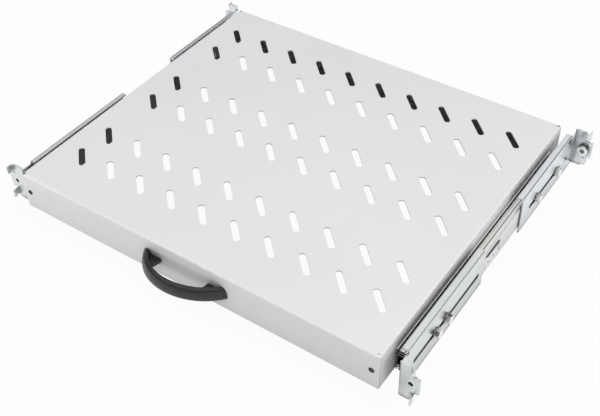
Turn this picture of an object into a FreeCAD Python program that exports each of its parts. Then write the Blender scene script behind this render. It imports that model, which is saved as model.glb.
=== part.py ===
import FreeCAD, Part
import math
import operator
import os
import Sketcher

# Sliding shelf for a 19 inch rack: a perforated steel tray with a bow handle, carried on two
# three-member ball slides, each held to the rack posts by a front and a rear hook-in bracket.
# Millimetres. X runs across the rack, +Y to the rear, +Z up. The origin is the middle of the
# line between the two front rack screws, on the front faces of the front brackets.

doc = FreeCAD.newDocument("sliding_rack_shelf")
sheet = doc.addObject("Spreadsheet::Sheet", "Sizes")

driving_sizes = {
    # Rack standard: panel width, post face on each side, screw hole from the panel's edge,
    # hole pitch up the post, square hole, and the depth from front posts to rear posts
    "rack_width": 482.6,
    "post_face": 16.3,
    "hole_margin": 8.75,
    "rack_hole_rise": 15.875,
    "rack_square": 9.5,
    "rack_depth": 364,
    # Tray of folded sheet, between the two slides
    "post_clearance": 2.7,
    "tray_drop": 42,
    "tray_sheet": 1.2,
    "tray_bend": 2.4,
    "tray_rise": 28,
    "tray_forward": 10,
    "tray_back": 12,
    "rear_return": 12,
    "return_gap": 2,
    "corner_gap": 0.3,
    "corner_relief": 3,
    "front_hole": 4,
    "front_hole_inset": 7.5,
    # Slanting ventilation slots, in blocks of two rows
    "slot_length": 28,
    "slot_width": 6.6,
    "slot_columns": 10,
    "slot_side_inset": 32.43,
    "slot_blocks": 3,
    "slot_row_pitch": 40,
    "slot_front_inset": 53,
    "slot_rear_inset": 49,
    # Bow handle, its arch tilted up from the tray's front
    "handle_width": 101,
    "handle_reach": 31,
    "handle_height": 14.5,
    "handle_strap": 6,
    "handle_foot": 22.5,
    "handle_gusset": 4.4,
    "handle_round": 2.8,
    "gusset_round": 2,
    "handle_tilt": 15,
    "handle_drop": 21,
    "handle_screw_pitch": 85,
    "handle_screw_depth": 6,
    # Ball slide
    "slide_back": 34,
    "slide_height": 27,
    "slide_thickness": 12.6,
    "slide_start": 18,
    "slide_level": -2.5,
    "member_sheet": 1.2,
    "ball_diameter": 2.5,
    "ball_gap": 0.1,
    "ball_pitch": 45,
    "ball_count": 3,
    "ball_space": 1.8,
    "web_space": 1.2,
    "track_step": 1.6,
    "track_shoulder": 2.2,
    "flange_lip": 1.5,
    "groove_width": 0.8,
    "groove_depth": 0.8,
    "cage_sheet": 0.6,
    "cage_end": 8,
    "bumper_thickness": 3,
    "bridge_start": 7,
    "bridge_length": 30,
    "bridge_height": 17,
    "bridge_rise": 1.5,
    "bridge_ramp": 3,
    "bridge_slit": 1,
    "bridge_hole": 2.4,
    "bridge_hole_pitch": 11,
    # Brackets
    "bracket_sheet": 1.5,
    "bracket_bend": 1,
    "bracket_height": 44,
    "bracket_lip": 6.5,
    "lip_start": 14,
    "lip_relief": 4,
    "bracket_front_length": 152,
    "bracket_rear_length": 131,
    "lug_height": 21,
    "lug_round": 2,
    "strip_round": 1.6,
    "hook_height": 8.5,
    "hook_reach": 6,
    "hook_catch": 2.2,
    "hook_clearance": 0.6,
    # Clamp slots and bolts
    "clamp_slot_width": 5.6,
    "front_slot_start": 23,
    "front_slot_margin": 8,
    "front_bolt_start": 62.5,
    "front_bolt_pitch": 19.5,
    "rear_slot_start": 21,
    "rear_slot_margin": 19,
    "rear_bolt_start": 47,
    "rear_bolt_pitch": 47,
    "bolt_diameter": 5,
    "bolt_flats": 8,
    "bolt_head": 4,
    "washer_diameter": 10,
    "washer_thickness": 1,
    # Small screws that hold the slides and the handle
    "screw_diameter": 4,
    "screw_head_diameter": 7.2,
    "screw_head": 2.2,
    "screw_nut_flats": 7,
    "screw_nut": 3.2,
    "screw_end": 0.8,
    "screw_inset": 36,
    "thread_gap": 0.1,
    "hole_gap": 0.3,
    # Press-in nuts that take the rack screws
    "nut_bore": 5,
    "nut_diameter": 11,
    "nut_length": 4.5,
    "nut_shank_diameter": 8.7,
}


class Size:
    """A length that carries its formula in the sheet and its present value."""

    def __init__(self, formula, value):
        self.formula = formula
        self.value = value

    def __add__(self, other):
        return worked_out(self, "+", other)

    def __radd__(self, other):
        return worked_out(other, "+", self)

    def __sub__(self, other):
        return worked_out(self, "-", other)

    def __rsub__(self, other):
        return worked_out(other, "-", self)

    def __mul__(self, other):
        return worked_out(self, "*", other)

    def __rmul__(self, other):
        return worked_out(other, "*", self)

    def __truediv__(self, other):
        return worked_out(self, "/", other)

    def __neg__(self):
        return worked_out(0, "-", self)


operations = {"+": operator.add, "-": operator.sub, "*": operator.mul, "/": operator.truediv}


def as_size(number):
    if isinstance(number, Size):
        return number
    return Size(f"({float(number)!r})", float(number))


def worked_out(left, sign, right):
    left = as_size(left)
    right = as_size(right)
    return Size(f"({left.formula} {sign} {right.formula})", operations[sign](left.value, right.value))


def square_root(area):
    return Size(f"sqrt({area.formula})", math.sqrt(area.value))


def size(name):
    return Size(f"Sizes.{name}", float(driving_sizes[name]))


for row, (name, number) in enumerate(driving_sizes.items(), 1):
    sheet.set(f"A{row}", name)
    sheet.set(f"B{row}", str(number))
    sheet.setAlias(f"B{row}", name)
doc.recompute()


# Drawing and feature helpers

def bind(item, name, length):
    item.setExpression(name, as_size(length).formula)


def place(item, x, y, z):
    for axis, length in zip("xyz", (x, y, z)):
        bind(item, f"Placement.Base.{axis}", length)


def new_body(label, x=0, y=0, z=0):
    body = doc.addObject("PartDesign::Body", label)
    body.Label = label
    place(body, x, y, z)
    return body


def sketch_on(body, role, offset=0):
    plane = [feature for feature in body.Origin.OriginFeatures if feature.Role == role][0]
    sketch = body.newObject("Sketcher::SketchObject", "outline")
    sketch.AttachmentSupport = [(plane, "")]
    sketch.MapMode = "FlatFace"
    bind(sketch, "AttachmentOffset.Base.z", offset)
    return sketch


def constrain(sketch, kind, length, *elements):
    rule = sketch.addConstraint(Sketcher.Constraint(kind, *elements, as_size(length).value))
    bind(sketch, f"Constraints[{rule}]", length)


def pin(sketch, edge, point, spot):
    constrain(sketch, "DistanceX", spot[0], -1, 1, edge, point)
    constrain(sketch, "DistanceY", spot[1], -1, 1, edge, point)


def vector(spot):
    return FreeCAD.Vector(as_size(spot[0]).value, as_size(spot[1]).value, 0)


def polygon(sketch, corners):
    first = sketch.GeometryCount
    count = len(corners)
    for index in range(count):
        following = corners[(index + 1) % count]
        sketch.addGeometry(Part.LineSegment(vector(corners[index]), vector(following)))
    for index in range(count):
        following = first + (index + 1) % count
        sketch.addConstraint(Sketcher.Constraint("Coincident", first + index, 2, following, 1))
        pin(sketch, first + index, 1, corners[index])


def rectangle(sketch, low, high):
    polygon(sketch, [low, (high[0], low[1]), high, (low[0], high[1])])


def circle(sketch, spot, radius):
    edge = sketch.addGeometry(Part.Circle(vector(spot), FreeCAD.Vector(0, 0, 1), radius.value))
    constrain(sketch, "Radius", radius, edge)
    pin(sketch, edge, 3, spot)


def long_hole(sketch, start, end, width):
    """Outline with two round ends about the points start and end."""
    run = vector(end) - vector(start)
    turn = math.atan2(run.y, run.x) + math.pi / 2
    radius = width / 2
    side = FreeCAD.Vector(math.cos(turn), math.sin(turn), 0) * radius.value
    up = FreeCAD.Vector(0, 0, 1)
    round_a = Part.Circle(vector(start), up, radius.value)
    arc_a = sketch.addGeometry(Part.ArcOfCircle(round_a, turn, turn + math.pi))
    line_a = sketch.addGeometry(Part.LineSegment(vector(start) - side, vector(end) - side))
    round_b = Part.Circle(vector(end), up, radius.value)
    arc_b = sketch.addGeometry(Part.ArcOfCircle(round_b, turn + math.pi, turn + 2 * math.pi))
    line_b = sketch.addGeometry(Part.LineSegment(vector(end) + side, vector(start) + side))
    for first, following in ((arc_a, line_a), (line_a, arc_b), (arc_b, line_b), (line_b, arc_a)):
        sketch.addConstraint(Sketcher.Constraint("Tangent", first, 2, following, 1))
    sketch.addConstraint(Sketcher.Constraint("Equal", arc_a, arc_b))
    constrain(sketch, "Radius", radius, arc_a)
    pin(sketch, arc_a, 3, start)
    pin(sketch, arc_b, 3, end)


def pad(body, sketch, length, reverse=False, symmetric=False):
    feature = body.newObject("PartDesign::Pad", "pad")
    feature.Profile = sketch
    bind(feature, "Length", length)
    feature.Reversed = reverse
    if symmetric:
        feature.SideType = "Symmetric"
    doc.recompute()
    return feature


def pocket(body, sketch, depth=None, reverse=False):
    """Cut by the outline: right through both ways, or to a depth against the sketch's normal."""
    before = body.Tip.Shape.Volume
    feature = body.newObject("PartDesign::Pocket", "pocket")
    feature.Profile = sketch
    feature.Reversed = reverse
    if depth is None:
        feature.Type = "ThroughAll"
        feature.SideType = "Symmetric"
    else:
        bind(feature, "Length", depth)
    doc.recompute()
    if feature.Shape.isNull() or feature.Shape.Volume >= before:
        raise RuntimeError(f"a pocket in {body.Label} cuts nothing")
    return feature


def edges_along(body, axis, x=None, y=None, z=None):
    """Names of the straight edges along an axis whose middle lies at the given coordinates."""
    wanted = [(key, as_size(spot).value) for key, spot in zip("xyz", (x, y, z)) if spot is not None]
    names = []
    for number, edge in enumerate(body.Tip.Shape.Edges, 1):
        if edge.Curve.TypeId != "Part::GeomLine":
            continue
        if abs(abs(getattr(edge.Curve.Direction, axis)) - 1) > 1e-6:
            continue
        middle = edge.CenterOfMass
        if all(abs(getattr(middle, key) - spot) < 1e-4 for key, spot in wanted):
            names.append(f"Edge{number}")
    return names


def round_edges(body, names, radius):
    if not names:
        raise RuntimeError(f"no edge to round in {body.Label}")
    base = body.Tip
    feature = body.newObject("PartDesign::Fillet", "round")
    feature.Base = (base, names)
    bind(feature, "Radius", radius)
    doc.recompute()
    if not feature.isValid():
        raise RuntimeError(f"edges {names} of {body.Label} take no rounding: {feature.getStatusString()}")
    return feature


def mirrored_start(side, near, far):
    """Lowest X of a stretch that runs from near to far on one side of the middle."""
    return near if side > 0 else -far


along_x = FreeCAD.Rotation(FreeCAD.Vector(0, 1, 0), 90)
along_y = FreeCAD.Rotation(FreeCAD.Vector(1, 0, 0), -90)


def cylinder(turn, x, y, z, radius, length):
    item = doc.addObject("Part::Cylinder", "cylinder")
    item.Placement.Rotation = turn
    place(item, x, y, z)
    bind(item, "Radius", radius)
    bind(item, "Height", length)
    return item


def hexagon(turn, x, y, z, flats, length):
    item = doc.addObject("Part::Prism", "hexagon")
    item.Polygon = 6
    item.Placement.Rotation = turn
    place(item, x, y, z)
    bind(item, "Circumradius", flats / math.sqrt(3))
    bind(item, "Height", length)
    return item


def cut(base, tool):
    item = doc.addObject("Part::Cut", "cut")
    item.Base = base
    item.Tool = tool
    return item


def fuse(shapes):
    item = doc.addObject("Part::MultiFuse", "fuse")
    item.Shapes = shapes
    return item


def group(label, shapes):
    item = doc.addObject("Part::Compound", label)
    item.Label = label
    item.Links = shapes
    return item


sides = {"left": -1, "right": 1}
sub_parts = []

# Levels and places that several pieces share

rack_hole = size("rack_width") / 2 - size("hole_margin")
web_outside = size("rack_width") / 2 - size("post_face") - size("post_clearance")
web_inside = web_outside - size("bracket_sheet")
tray_half = web_inside - size("slide_thickness")
tray_depth = size("rack_depth") + size("tray_forward") - size("tray_back")
handle_level = size("tray_rise") - size("handle_drop")
slide_half = size("slide_height") / 2
sheet_t = size("member_sheet")
slide_length = size("rack_depth") - size("slide_start") - size("slide_back")
slide_end = size("slide_start") + slide_length
running_length = slide_length - size("bumper_thickness") - size("hole_gap")
screw_radius = size("screw_diameter") / 2
screw_hole = screw_radius + size("hole_gap") / 2
handle_screw_places = [-size("handle_screw_pitch") / 2, size("handle_screw_pitch") / 2]
slide_screw_places = [
    size("slide_start") + size("screw_inset"),
    size("slide_start") + running_length / 2,
    size("slide_start") + running_length - size("screw_inset"),
]
rear_front_edge = size("rack_depth") - size("bracket_rear_length")
last_bolt = size("rack_depth") - size("rear_bolt_start")
clamp_places = {
    "front": [size("front_bolt_start"), size("front_bolt_start") + size("front_bolt_pitch")],
    "rear": [last_bolt - size("rear_bolt_pitch"), last_bolt],
}


# Tray: one folded sheet with four turned-down sides, butted corners and slanting slots

def make_tray():
    half = tray_half
    depth = tray_depth
    drop = size("tray_drop")
    thick = size("tray_sheet")
    bend = size("tray_bend")
    body = new_body("tray", 0, -size("tray_forward"), size("tray_rise"))
    outline = sketch_on(body, "XY_Plane")
    rectangle(outline, (-half, as_size(0)), (half, depth))
    pad(body, outline, drop, reverse=True)
    outer = edges_along(body, "x", z=0) + edges_along(body, "y", z=0)
    round_edges(body, outer, bend)
    hollow = sketch_on(body, "XY_Plane", -thick)
    rectangle(hollow, (thick - half, thick), (half - thick, depth - thick))
    pocket(body, hollow, drop)
    inner = edges_along(body, "x", z=-thick) + edges_along(body, "y", z=-thick)
    round_edges(body, inner, bend - thick)

    # Slits where the side flanges butt against the front and rear flanges
    slits = sketch_on(body, "YZ_Plane")
    gap = size("corner_gap")
    rectangle(slits, (thick, -drop - thick), (thick + gap, -bend))
    rectangle(slits, (depth - thick - gap, -drop - thick), (depth - thick, -bend))
    pocket(body, slits)
    reliefs = sketch_on(body, "XY_Plane", thick)
    for x in (bend - half, half - bend):
        for y in (bend, depth - bend):
            circle(reliefs, (x, y), size("corner_relief") / 2)
    pocket(body, reliefs, thick + bend)

    # The rear side is turned in again along its foot, which stiffens the open back
    fold = sketch_on(body, "YZ_Plane")
    rectangle(fold, (depth - size("rear_return"), -drop), (depth - thick / 2, thick - drop))
    pad(body, fold, 2 * (half - thick - size("return_gap")), symmetric=True)
    round_edges(body, edges_along(body, "x", y=depth - thick, z=thick - drop), bend - thick)

    # Holes in the front: handle screws and the two plain corner holes
    front = sketch_on(body, "XZ_Plane")
    for x in handle_screw_places:
        circle(front, (x, -size("handle_drop")), screw_hole)
    for x in (size("front_hole_inset") - half, half - size("front_hole_inset")):
        circle(front, (x, -drop / 2), size("front_hole") / 2)
    pocket(body, front, bend)
    flanks = sketch_on(body, "YZ_Plane")
    for y in slide_screw_places:
        circle(flanks, (y + size("tray_forward"), size("slide_level") - size("tray_rise")), screw_hole)
    pocket(body, flanks)

    # One slot, repeated across and in blocks of two rows
    slot = sketch_on(body, "XY_Plane", thick)
    reach = (size("slot_length") - size("slot_width")) / 2 * math.sqrt(0.5)
    first_x = size("slot_side_inset") - half
    first_y = size("slot_front_inset")
    rear_end = (first_x - reach, first_y + reach)
    front_end = (first_x + reach, first_y - reach)
    long_hole(slot, rear_end, front_end, size("slot_width"))
    first_slot = pocket(body, slot, thick + bend)
    row_step = size("slot_row_pitch")
    block_run = depth - first_y - size("slot_rear_inset") - row_step
    across = linear_steps(body, "X_Axis", -2 * first_x, size("slot_columns"))
    rows = linear_steps(body, "Y_Axis", row_step, as_size(2))
    blocks = linear_steps(body, "Y_Axis", block_run, size("slot_blocks"))
    pattern = body.newObject("PartDesign::MultiTransform", "slots")
    pattern.Originals = [first_slot]
    pattern.Transformations = [across, rows, blocks]
    body.Tip = pattern
    doc.recompute()
    return body


def linear_steps(body, role, run, count):
    steps = body.newObject("PartDesign::LinearPattern", "steps")
    line = [feature for feature in body.Origin.OriginFeatures if feature.Role == role][0]
    steps.Direction = (line, [""])
    bind(steps, "Length", run)
    bind(steps, "Occurrences", count)
    return steps


sub_parts.append(make_tray())


# Handle: a moulded bow, tilted up, with a thin gusset between each end of its strap and the tray

def make_handle():
    half = size("handle_width") / 2
    reach = size("handle_reach")
    strap = size("handle_strap")
    tall = size("handle_height")
    foot = half - size("handle_foot")
    body = new_body("handle", 0, -size("tray_forward"), handle_level)

    # The strap is drawn in its own tilted plane and runs a little past the tray's front. Its two
    # edges are arcs about one centre, so that it keeps its thickness all the way.
    past = strap / 2
    rise = reach + past
    radius = (half * half + rise * rise) / (2 * rise)
    setback = radius - reach
    inner_half = square_root((radius - strap) * (radius - strap) - (setback - past) * (setback - past))
    corners = [(-half, past), (half, past), (inner_half, past), (-inner_half, past)]
    crowns = {0: (as_size(0), -reach), 2: (as_size(0), strap - reach)}
    outline = tilted_sketch(body)
    bowed_outline(outline, corners, crowns)
    pad(body, outline, tall, symmetric=True)
    round_edges(body, arcs_of(body, radius) + arcs_of(body, radius - strap), size("handle_round"))

    # Gussets, which end in the middle of the strap, with a hollow round along it
    middle = radius - past
    strap_x = square_root(middle * middle - setback * setback)
    strap_y = setback - square_root(middle * middle - (foot + past) * (foot + past))
    gussets = tilted_sketch(body)
    for way in (-1, 1):
        web = [(foot, past), (strap_x, past), (foot + past, strap_y), (foot, strap_y)]
        polygon(gussets, [(way * x, y) for x, y in web])
    before = len(body.Tip.Shape.Edges)
    pad(body, gussets, size("handle_gusset"), symmetric=True)
    if len(body.Tip.Shape.Edges) <= before:
        raise RuntimeError("the gussets add nothing to the strap")
    hollows = arcs_of(body, radius - strap, size("handle_gusset") / 2)
    round_edges(body, hollows, size("gusset_round"))
    back = sketch_on(body, "XZ_Plane")
    rectangle(back, (-half - tall, -tall), (half + tall, tall))
    pocket(body, back, tall)

    holes = sketch_on(body, "XZ_Plane")
    for x in handle_screw_places:
        circle(holes, (x, as_size(0)), screw_radius + size("thread_gap") / 2)
    pocket(body, holes, size("handle_screw_depth"), reverse=True)
    return body


def tilted_sketch(body):
    sketch = sketch_on(body, "XY_Plane")
    sketch.AttachmentOffset.Rotation = FreeCAD.Rotation(FreeCAD.Vector(1, 0, 0), -1)
    bind(sketch, "AttachmentOffset.Rotation.Angle", -size("handle_tilt"))
    return sketch


def arcs_of(body, radius, level=None):
    """Names of the arcs of a given radius, or only those at a given height over the tilted plane."""
    tilt = math.radians(size("handle_tilt").value)
    names = []
    for number, edge in enumerate(body.Tip.Shape.Edges, 1):
        if edge.Curve.TypeId != "Part::GeomCircle" or abs(edge.Curve.Radius - radius.value) > 1e-4:
            continue
        centre = edge.Curve.Center
        height = abs(centre.y * math.sin(tilt) + centre.z * math.cos(tilt))
        if level is None or abs(height - level.value) < 1e-4:
            names.append(f"Edge{number}")
    return names


def bowed_outline(sketch, corners, arcs):
    """Closed outline of straight runs, where the runs listed in arcs bow out to a given point."""
    count = len(corners)
    ends = []
    for index in range(count):
        start = vector(corners[index])
        end = vector(corners[(index + 1) % count])
        clockwise = False
        if index in arcs:
            crown = vector(arcs[index])
            clockwise = (crown - start).cross(end - start).z < 0
            sketch.addGeometry(Part.Arc(end, crown, start) if clockwise else Part.Arc(start, crown, end))
        else:
            sketch.addGeometry(Part.LineSegment(start, end))
        ends.append((2, 1) if clockwise else (1, 2))
    for index in range(count):
        following = (index + 1) % count
        join = (index, ends[index][1], following, ends[following][0])
        sketch.addConstraint(Sketcher.Constraint("Coincident", *join))
        pin(sketch, index, ends[index][0], corners[index])
    for index, crown in arcs.items():
        half = (as_size(corners[(index + 1) % count][0]) - corners[index][0]) / 2
        rise = as_size(corners[index][1]) - crown[1]
        constrain(sketch, "Radius", (half * half + rise * rise) / (2 * rise), index)


sub_parts.append(make_handle())


# Pan-head screws that come from inside the tray's front into the handle's feet

def make_handle_screws():
    inner_face = size("tray_sheet") - size("tray_forward")
    length = size("tray_sheet") + size("handle_screw_depth") - size("screw_end")
    radius = size("screw_head_diameter") / 2
    screws = []
    for x in handle_screw_places:
        head = cylinder(along_y, x, inner_face, handle_level, radius, size("screw_head"))
        shank = cylinder(along_y, x, inner_face - length, handle_level, screw_radius, length)
        screws.append(fuse([head, shank]))
    return group("handle_screws", screws)


sub_parts.append(make_handle_screws())


# Ball slide. Across the slide, u runs from the tray's side to the bracket. Up the slide, v runs
# from the middle to the flanges. The outer member holds the middle one, and that the inner one,
# with a row of balls between their flanges at the top and at the bottom.

outer_web = size("slide_thickness") - sheet_t
middle_web = outer_web - size("web_space")
inner_cage_web = middle_web - sheet_t - size("web_space") / 2
outer_track = size("slide_thickness") / 2
inner_track = outer_track - size("track_step")
shoulder = size("track_shoulder")
outer_flange = slide_half - sheet_t
middle_flange = outer_flange - size("ball_space")
inner_flange = middle_flange - sheet_t - size("ball_space")
outer_row = outer_flange - size("ball_space") / 2
inner_row = middle_flange - sheet_t - size("ball_space") / 2
ball_radius = size("ball_diameter") / 2
track_radius = ball_radius + size("ball_gap")


def channel(side, web, flange_tip, top, thick):
    """Outline of a channel with its web at u = web and flanges that reach to u = flange_tip."""
    inward = thick if flange_tip.value > web.value else -thick
    half_outline = [(web, top), (flange_tip, top), (flange_tip, top - thick), (web + inward, top - thick)]
    lower_half = [(u, -v) for u, v in reversed(half_outline)]
    return [(side * u, v) for u, v in half_outline + lower_half]


def slide_member(label, side, corners, tracks, length):
    body = new_body(label, side * tray_half, size("slide_start"), size("slide_level"))
    profile = sketch_on(body, "XZ_Plane")
    polygon(profile, corners)
    pad(body, profile, length, reverse=True)
    for u, v in tracks:
        grooves = sketch_on(body, "XZ_Plane")
        circle(grooves, (side * u, v), track_radius)
        circle(grooves, (side * u, -v), track_radius)
        pocket(body, grooves, length)
    return body


def make_slide_outer(name, side):
    thick = size("slide_thickness")
    tip = outer_track - shoulder - size("flange_lip")
    groove = outer_track + shoulder / 2
    groove_floor = slide_half - size("groove_depth")
    upper = [
        (thick, slide_half),
        (groove + size("groove_width"), slide_half),
        (groove + size("groove_width"), groove_floor),
        (groove, groove_floor),
        (groove, slide_half),
        (tip, slide_half),
        (tip, outer_flange),
        (outer_web, outer_flange),
    ]
    corners = upper + [(u, -v) for u, v in reversed(upper)]
    outline = [(side * u, v) for u, v in corners]
    body = slide_member(f"slide_outer_{name}", side, outline, [(outer_track, outer_row)], slide_length)
    holes = sketch_on(body, "YZ_Plane")
    for y in clamp_places["front"] + clamp_places["rear"]:
        circle(holes, (y - size("slide_start"), as_size(0)), (size("bolt_diameter") + size("thread_gap")) / 2)
    pocket(body, holes)
    raise_bridge(body, side)
    return body


def raise_bridge(body, side):
    """Between two slits, a strip of the web is pressed out behind the front bracket."""
    front = size("bracket_front_length") + size("bridge_start") - size("slide_start")
    back = front + size("bridge_length")
    middle = (front + back) / 2
    half_height = size("bridge_height") / 2
    window = sketch_on(body, "YZ_Plane")
    rectangle(window, (front, -half_height), (back, half_height))
    pocket(body, window)
    inside = outer_web
    outside = size("slide_thickness")
    rise = size("bridge_rise")
    ramp = size("bridge_ramp")
    strip = sketch_on(body, "XY_Plane")
    bent = [
        (inside, front),
        (outside, front),
        (outside + rise, front + ramp),
        (outside + rise, back - ramp),
        (outside, back),
        (inside, back),
        (inside + rise, back - ramp),
        (inside + rise, front + ramp),
    ]
    polygon(strip, [(side * u, y) for u, y in bent])
    pad(body, strip, size("bridge_height") - 2 * size("bridge_slit"), symmetric=True)
    holes = sketch_on(body, "YZ_Plane")
    for step in (-1, 0, 1):
        circle(holes, (middle + step * size("bridge_hole_pitch"), as_size(0)), size("bridge_hole") / 2)
    pocket(body, holes)


def make_slide_middle(name, side):
    tip = inner_track - shoulder
    outline = channel(side, middle_web, tip, middle_flange, sheet_t)
    tracks = [(outer_track, outer_row), (inner_track, inner_row)]
    return slide_member(f"slide_middle_{name}", side, outline, tracks, running_length)


def make_slide_inner(name, side):
    tip = inner_track + shoulder
    upper = [
        (as_size(0), slide_half),
        (sheet_t, slide_half),
        (sheet_t, inner_flange),
        (tip, inner_flange),
        (tip, inner_flange - sheet_t),
        (sheet_t, inner_flange - sheet_t),
    ]
    corners = upper + [(u, -v) for u, v in reversed(upper)]
    outline = [(side * u, v) for u, v in corners]
    body = slide_member(f"slide_inner_{name}", side, outline, [(inner_track, inner_row)], running_length)
    holes = sketch_on(body, "YZ_Plane")
    for y in slide_screw_places:
        circle(holes, (y - size("slide_start"), as_size(0)), screw_hole)
    pocket(body, holes)
    return body


ball_span = size("ball_pitch") * (size("ball_count") - 1)
cage_length = ball_span + 2 * size("cage_end")
first_ball = size("slide_start") + running_length / 2 - ball_span / 2
ball_number = int(driving_sizes["ball_count"])


def make_ball_cage(label, side, web, track, row):
    """Folded strip with a web behind the balls and two flanges pierced for them."""
    thick = size("cage_sheet")
    start = first_ball - size("cage_end")
    body = new_body(label, side * tray_half, start, size("slide_level"))
    profile = sketch_on(body, "XZ_Plane")
    polygon(profile, channel(side, web + thick / 2, track - shoulder, row + thick / 2, thick))
    pad(body, profile, cage_length, reverse=True)
    holes = sketch_on(body, "XY_Plane")
    for index in range(ball_number):
        circle(holes, (side * track, size("cage_end") + index * size("ball_pitch")), track_radius)
    pocket(body, holes)
    return body


def make_balls(label, side, track, row):
    balls = []
    for index in range(ball_number):
        for level in (row, -row):
            ball = doc.addObject("Part::Sphere", "ball")
            y = first_ball + index * size("ball_pitch")
            place(ball, side * (tray_half + track), y, size("slide_level") + level)
            bind(ball, "Radius", ball_radius)
            balls.append(ball)
    return group(label, balls)


def make_bumper(name, side):
    """Rubber stop across the back end of the outer member."""
    start = mirrored_start(side, tray_half + outer_track - shoulder, tray_half + outer_web)
    item = doc.addObject("Part::Box", f"slide_bumper_{name}")
    item.Label = f"slide_bumper_{name}"
    place(item, start, slide_end - size("bumper_thickness"), size("slide_level") - outer_flange)
    bind(item, "Length", outer_web - outer_track + shoulder)
    bind(item, "Width", size("bumper_thickness"))
    bind(item, "Height", 2 * outer_flange)
    return item


def make_slide_screws():
    """Screws with their heads in the inner members, through the tray's sides into nuts."""
    face = tray_half + sheet_t
    length = sheet_t + size("tray_sheet") + size("screw_nut") + size("screw_end")
    radius = size("screw_head_diameter") / 2
    level = size("slide_level")
    screws = []
    for side in sides.values():
        head_start = mirrored_start(side, face, face + size("screw_head"))
        shank_start = mirrored_start(side, face - length, face)
        for y in slide_screw_places:
            head = cylinder(along_x, head_start, y, level, radius, size("screw_head"))
            shank = cylinder(along_x, shank_start, y, level, screw_radius, length)
            screws.append(fuse([head, shank]))
    return group("slide_screws", screws)


def make_slide_nuts():
    face = tray_half - size("tray_sheet")
    bore = screw_radius + size("thread_gap") / 2
    level = size("slide_level")
    nuts = []
    for side in sides.values():
        start = mirrored_start(side, face - size("screw_nut"), face)
        for y in slide_screw_places:
            blank = hexagon(along_x, start, y, level, size("screw_nut_flats"), size("screw_nut"))
            hole = cylinder(along_x, start, y, level, bore, size("screw_nut"))
            nuts.append(cut(blank, hole))
    return group("slide_nuts", nuts)


outer_cage_web = outer_web - size("web_space") / 2
for name, side in sides.items():
    sub_parts.append(make_slide_outer(name, side))
    sub_parts.append(make_slide_middle(name, side))
    sub_parts.append(make_slide_inner(name, side))
    sub_parts.append(make_ball_cage(f"ball_cage_outer_{name}", side, outer_cage_web, outer_track, outer_row))
    sub_parts.append(make_ball_cage(f"ball_cage_inner_{name}", side, inner_cage_web, inner_track, inner_row))
    sub_parts.append(make_balls(f"balls_outer_{name}", side, outer_track, outer_row))
    sub_parts.append(make_balls(f"balls_inner_{name}", side, inner_track, inner_row))
    sub_parts.append(make_bumper(name, side))
sub_parts.append(make_slide_screws())
sub_parts.append(make_slide_nuts())


# Hook-in brackets. Each is one folded plate: a web along the slide with a top lip, and a flange
# against the post with a drilled lug and two hooks that reach into the post's square holes.

hook_outside = rack_hole + size("rack_square") / 2 - size("hook_clearance")
bracket_half = size("bracket_height") / 2
outer_bend = size("bracket_bend") + size("bracket_sheet")


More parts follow.
